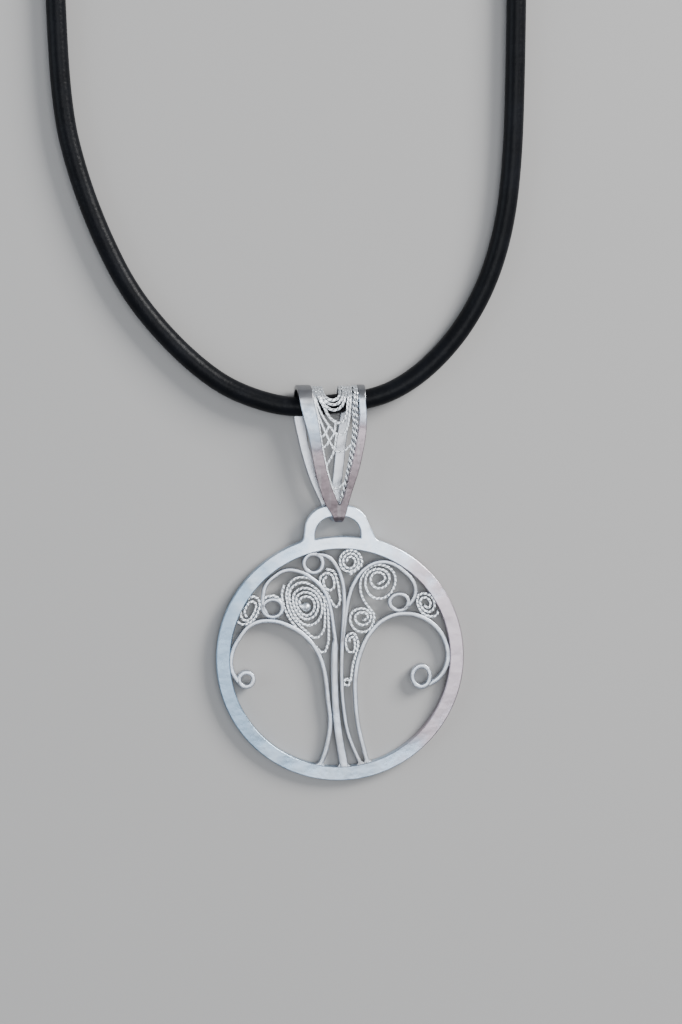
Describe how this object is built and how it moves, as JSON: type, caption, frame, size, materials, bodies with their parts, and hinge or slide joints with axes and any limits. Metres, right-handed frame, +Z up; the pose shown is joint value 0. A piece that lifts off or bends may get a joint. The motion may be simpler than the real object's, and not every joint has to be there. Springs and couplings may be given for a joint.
{
  "type": "tree of life pendant",
  "caption": "Round filigree tree pendant with a folded wire-filled bail on a black round leather cord necklace, lying on its back.",
  "frame": {"origin": "on the surface the necklace lies on, below the middle of the box round the disc and the bail", "axes": "+Z up off the surface, out of the pendant's face; +Y from the disc towards the bail; +X to the right seen from the front"},
  "size_m": [0.0611, 0.2142, 0.004],
  "materials": {
    "disc_silver": "satin whitened silver, edges polished",
    "bail_silver": "satin whitened silver, edges polished",
    "cord_leather": "dyed black, slightly glossy",
    "clasp_silver": "smooth satin silver"
  },
  "bodies": {
    "root": {"tree_disc": "disc_silver", "bail": "bail_silver", "leather_cord": "cord_leather", "clasp": "clasp_silver"}
  },
  "joints": []
}
